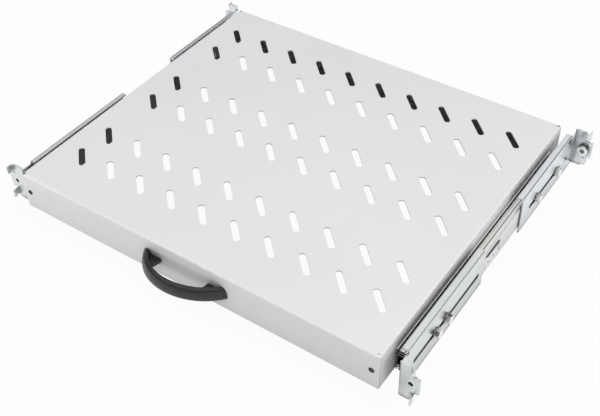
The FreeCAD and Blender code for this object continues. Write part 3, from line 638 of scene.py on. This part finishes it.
def hexagon(tree, flats, height):
    """Hexagon bar of the given height, its upper corners taken off by a cone. The bar stands out above
    the cone and the cone below the bar, so that none of their ends fall together."""
    top_share = 0.47
    corner = number(tree, "DIVIDE", flats, math.sqrt(3))
    taller = number(tree, "ADD", height, spare)
    prism = rod(tree, 6, corner, 0.0, taller)
    top = number(tree, "MULTIPLY", flats, top_share)
    foot = number(tree, "MULTIPLY_ADD", taller, math.sqrt(3), top)
    wires = {"Vertices": 48, "Radius Top": top, "Radius Bottom": foot, "Depth": taller}
    cone = put(tree, "GeometryNodeMeshCone", wires).outputs["Mesh"]
    return overlap(tree, prism, lifted(tree, cone, -spare))


def bolt_tree(finish):
    tree, given = fastener_tree("clamp_bolt", "Flats", "Head", "Shank", "Length")
    head = hexagon(tree, given["Flats"], given["Head"])
    below = number(tree, "MULTIPLY", given["Length"], -1.0)
    shank = rod(tree, shank_sides, given["Shank"], below, given["Length"])
    repeat(tree, given["Places"], together(tree, head, shank), finish)
    return tree


def washer_tree(finish):
    tree, given = fastener_tree("clamp_washer", "Bore", "Outside", "Height", "Edge")
    disc = ring(tree, given["Bore"], given["Outside"], 0.0, given["Height"], given["Edge"])
    repeat(tree, given["Places"], disc, finish)
    return tree


def near_and_far(low, high):
    """Distances of a solid's two ends from the middle of the shelf."""
    return sorted((abs(low.x), abs(high.x)))


def side_places(boxes, distance, turn=0.0, way=1):
    """A place for each solid at a distance from the middle, facing outward or, if way is -1, inward,
    and each turned further than the one before."""
    places = []
    for index, (low, high) in enumerate(boxes):
        side = 1 if low.x > 0 else -1
        middle = (low + high) / 2
        spot = Vector((side * distance, middle.y, middle.z))
        places.append((spot, Vector((way * side, 0, 0)), turn * index))
    return places


washers = solids_of("clamp_washers")
washer_near, washer_far = near_and_far(*washers[0])
washer_low, washer_high = washers[0]
washer_places = side_places(washers, washer_near + hair)
washer_sizes = {
    "Bore": 0.00265,
    "Outside": (washer_high.y - washer_low.y) / 2,
    "Height": washer_far - washer_near - hair,
    "Edge": broken_edge,
}
washer = washer_tree(fastener_zinc)
set_down("clamp_washer_set", washer, washer_places, washer_sizes, "rails", "clamp_washers")

bolt_near, bolt_far = near_and_far(*solids_of("clamp_bolts")[0])
bolt_places = side_places(washers, washer_far, turn=0.9)
bolt_sizes = {
    "Flats": 0.008,
    "Head": bolt_far - washer_far,
    "Shank": 0.0025,
    "Length": washer_far - bolt_near,
}
bolt = bolt_tree(fastener_zinc)
set_down("clamp_bolt_set", bolt, bolt_places, bolt_sizes, "rails", "clamp_bolts")


# Slide and handle screws
# Pan-head screws with a cross recess: six hold the inner members to the tray's sides, with hexagon
# nuts inside the tray, and two hold the handle from behind. The shelf hides all but their ends.

def pan_screw_tree(finish):
    tree, given = fastener_tree("pan_screw", "Head radius", "Head", "Shank", "Length", "Slot")
    radius = given["Head radius"]
    height = given["Head"]
    slot = given["Slot"]
    rim_sides = 40
    rise_share = 0.6
    recess_share = 1.1
    rim = rod(tree, rim_sides, radius, 0.0, height)
    rise = number(tree, "MULTIPLY", height, rise_share)
    square = number(tree, "MULTIPLY", radius, radius)
    bow = number(tree, "MULTIPLY_ADD", rise, rise, square)
    dome = number(tree, "DIVIDE", bow, number(tree, "MULTIPLY", rise, 2.0))
    wires = {"Segments": 64, "Rings": 64, "Radius": dome}
    ball = put(tree, "GeometryNodeMeshUVSphere", wires).outputs["Mesh"]
    ball = lifted(tree, ball, number(tree, "SUBTRACT", height, dome))
    head = overlap(tree, rim, ball)
    # One arm of the cross is a hair shallower, so that the floors of the two cuts don't fall together.
    arm = number(tree, "MULTIPLY", radius, recess_share)
    shallower = number(tree, "SUBTRACT", height, 2 * hair)
    for x, y, z in ((arm, slot, height), (slot, arm, shallower)):
        box = put(tree, "ShaderNodeCombineXYZ", {"X": x, "Y": y, "Z": z}).outputs["Vector"]
        blade = put(tree, "GeometryNodeMeshCube", {"Size": box}).outputs["Mesh"]
        wires = {"Mesh 1": head, "Mesh 2": lifted(tree, blade, height)}
        head = put(tree, "GeometryNodeMeshBoolean", wires, operation="DIFFERENCE").outputs["Mesh"]
    below = number(tree, "MULTIPLY", given["Length"], -1.0)
    shank = rod(tree, shank_sides, given["Shank"], below, given["Length"])
    repeat(tree, given["Places"], together(tree, head, shank), finish)
    return tree


def hex_nut_tree(finish):
    tree, given = fastener_tree("slide_nut", "Flats", "Height", "Bore")
    bar = hexagon(tree, given["Flats"], given["Height"])
    drill_length = 0.01
    drill = rod(tree, shank_sides, given["Bore"], -spare, drill_length)
    wires = {"Mesh 1": bar, "Mesh 2": drill}
    bored = put(tree, "GeometryNodeMeshBoolean", wires, operation="DIFFERENCE").outputs["Mesh"]
    repeat(tree, given["Places"], bored, finish)
    return tree


screw_tree = pan_screw_tree(fastener_zinc)
screw_sizes = {"Head radius": 0.0036, "Head": 0.0022, "Shank": 0.002, "Slot": 0.0009}
slide_screws = solids_of("slide_screws")
screw_near, screw_far = near_and_far(*slide_screws[0])
head_face = screw_far - screw_sizes["Head"]
slide_sizes = dict(screw_sizes, Length=head_face - screw_near)
slide_places = side_places(slide_screws, head_face, turn=0.7)
set_down("slide_screw_set", screw_tree, slide_places, slide_sizes, "shelf", "slide_screws")

handle_screws = solids_of("handle_screws")
screw_low, screw_high = handle_screws[0]
head_inside = screw_high.y - screw_sizes["Head"]
handle_sizes = dict(screw_sizes, Length=head_inside - screw_low.y)
first_turn = 0.4
handle_places = []
for index, (low, high) in enumerate(handle_screws):
    middle = (low + high) / 2
    spot = Vector((middle.x, head_inside, middle.z))
    handle_places.append((spot, Vector((0, 1, 0)), first_turn + index))
set_down("handle_screw_set", screw_tree, handle_places, handle_sizes, "shelf", "handle_screws")

slide_nuts = solids_of("slide_nuts")
nut_near, nut_far = near_and_far(*slide_nuts[0])
nut_sizes = {"Flats": 0.007, "Height": nut_far - nut_near, "Bore": 0.00205}
nut_places = side_places(slide_nuts, nut_far, turn=0.5, way=-1)
hex_nut = hex_nut_tree(fastener_zinc)
set_down("slide_nut_set", hex_nut, nut_places, nut_sizes, "shelf", "slide_nuts")


# Floor, light and camera
# A wide white table under a white sky with a grey band low down, for the eye and in reflections. A
# large soft lamp overhead and weak ones at the left front and the right light the shelf, which is
# seen from above its right front.

floor_gap = 0.0002
floor_level = cad_box[0][2] - floor_gap
white = (1.0, 1.0, 1.0)
shade = (0.15, 0.15, 0.15)


def seen_or_mirrored(tree, rays):
    """One for rays from the eye or off a shiny surface, nought for light that is scattered."""
    sharp = number(tree, "MAXIMUM", rays["Is Camera Ray"], rays["Is Glossy Ray"])
    return number(tree, "MAXIMUM", sharp, rays["Is Transmission Ray"])


def white_table():
    """White for the eye, with a faint shadow, and clear from below. It is white in reflections too,
    and scatters back the light of a pale table; beneath the shelf both are darkened by painted shade."""
    finish = bpy.data.materials.new("table")
    finish.use_nodes = True
    tree = finish.node_tree
    tree.nodes.clear()
    rays = put(tree, "ShaderNodeLightPath", {}).outputs
    seen = seen_or_mirrored(tree, rays)
    place = put(tree, "ShaderNodeTexCoord", {}).outputs["Object"]
    along = put(tree, "ShaderNodeSeparateXYZ", {"Vector": place}).outputs
    low, high = cad_box
    beside = number(tree, "SUBTRACT", number(tree, "ABSOLUTE", along["X"]), high[0])
    behind = number(tree, "SUBTRACT", along["Y"], high[1])
    before = number(tree, "SUBTRACT", low[1], along["Y"])
    away = number(tree, "MAXIMUM", beside, number(tree, "MAXIMUM", behind, before))
    # The distance is counted so that it is 0.1 at the shelf's outline, and the shade fades over a rim
    # inside the outline.
    outline = 0.1
    rim = 0.05
    mirrored_gap = 0.005
    shadow_share = 0.04
    # Painted shade: the table scatters back less light beneath the shelf.
    bounce_beneath = (0.10, 0.10, 0.10)
    bounce_beyond = (0.62, 0.62, 0.62)
    away = number(tree, "ADD", away, outline)
    bounced = tinted(tree, away, [bounce_beneath, bounce_beyond], outline - rim, outline)
    lit = put(tree, "ShaderNodeBsdfDiffuse", {"Color": bounced}).outputs["BSDF"]
    glow = put(tree, "ShaderNodeEmission", {"Color": (*white, 1.0)}).outputs["Emission"]
    shadowed = put(tree, "ShaderNodeMixShader", {0: shadow_share, 1: glow, 2: lit}).outputs[0]
    table = put(tree, "ShaderNodeMixShader", {0: seen, 1: lit, 2: shadowed}).outputs[0]
    # Painted shade beneath the shelf, as seen in reflections.
    reflected = tinted(tree, away, [shade, white], outline - rim, outline - mirrored_gap)
    mirror = put(tree, "ShaderNodeEmission", {"Color": reflected}).outputs["Emission"]
    wires = {0: rays["Is Glossy Ray"], 1: table, 2: mirror}
    table = put(tree, "ShaderNodeMixShader", wires).outputs[0]
    below = put(tree, "ShaderNodeNewGeometry", {}).outputs["Backfacing"]
    clear = put(tree, "ShaderNodeBsdfTransparent", {}).outputs["BSDF"]
    table = put(tree, "ShaderNodeMixShader", {0: below, 1: table, 2: clear}).outputs[0]
    put(tree, "ShaderNodeOutputMaterial", {"Surface": table})
    return finish


reach = 40.0
corners = [(-reach, -reach), (reach, -reach), (reach, reach), (-reach, reach)]
table_mesh = bpy.data.meshes.new("table")
table_mesh.from_pydata([(x, y, floor_level) for x, y in corners], [], [(0, 1, 2, 3)])
table_mesh.materials.append(white_table())
table = bpy.data.objects.new("table", table_mesh)
bpy.context.scene.collection.objects.link(table)


def even_sky():
    """White with a grey band above the horizon, for the eye and in reflections; it lights evenly."""
    world = bpy.data.worlds.new("even_sky")
    world.use_nodes = True
    tree = world.node_tree
    tree.nodes.clear()
    rays = put(tree, "ShaderNodeLightPath", {}).outputs
    sharp = seen_or_mirrored(tree, rays)
    upward = put(tree, "ShaderNodeTexCoord", {}).outputs["Generated"]
    height = put(tree, "ShaderNodeSeparateXYZ", {"Vector": upward}).outputs["Z"]
    band = [white, shade, shade, shade, white]
    dome = tinted(tree, height, band, start=0.04, stop=0.60)
    wires = {"Color": (*white, 1.0), "Strength": 0.58}
    scattered = put(tree, "ShaderNodeBackground", wires).outputs[0]
    beyond = put(tree, "ShaderNodeBackground", {"Color": dome}).outputs[0]
    sky = put(tree, "ShaderNodeMixShader", {0: sharp, 1: scattered, 2: beyond}).outputs[0]
    put(tree, "ShaderNodeOutputWorld", {"Surface": sky})
    return world


bpy.context.scene.world = even_sky()


def soft_lamp(name, place, aim, side, power):
    """Square lamp that scatters its light over the object without a glint of its own."""
    data = bpy.data.lights.new(name, "AREA")
    data.size = side
    data.energy = power
    lamp = bpy.data.objects.new(name, data)
    turn = (Vector(aim) - Vector(place)).to_track_quat("-Z", "Y")
    lamp.matrix_world = Matrix.Translation(place) @ turn.to_matrix().to_4x4()
    lamp.visible_glossy = False
    bpy.context.scene.collection.objects.link(lamp)


soft_lamp("overhead", place=(0.3, -0.2, 1.9), aim=(0.0, 0.15, 0.0), side=1.8, power=18.0)
soft_lamp("front_fill", place=(-0.45, -0.65, 0.14), aim=(-0.12, 0.0, 0.0), side=0.25, power=1.4)
soft_lamp("right_fill", place=(1.2, 0.15, 0.35), aim=(0.2, 0.15, 0.02), side=0.8, power=3.5)

camera_data = bpy.data.cameras.new("camera")
camera_data.sensor_width = 36.0
camera_data.lens = 58.1
camera = bpy.data.objects.new("camera", camera_data)
camera_place = Vector((0.4446, -0.4423, 0.6556))
camera_right = Vector((0.82307, 0.56749, -0.02268))
camera_back = Vector((0.42696, -0.59193, 0.68361))
camera_up = camera_back.cross(camera_right)
turned = Matrix((camera_right, camera_up, camera_back)).transposed()
camera.matrix_world = Matrix.Translation(camera_place) @ turned.to_4x4()
bpy.context.scene.collection.objects.link(camera)
bpy.context.scene.camera = camera
bpy.context.scene.view_settings.view_transform = "Standard"
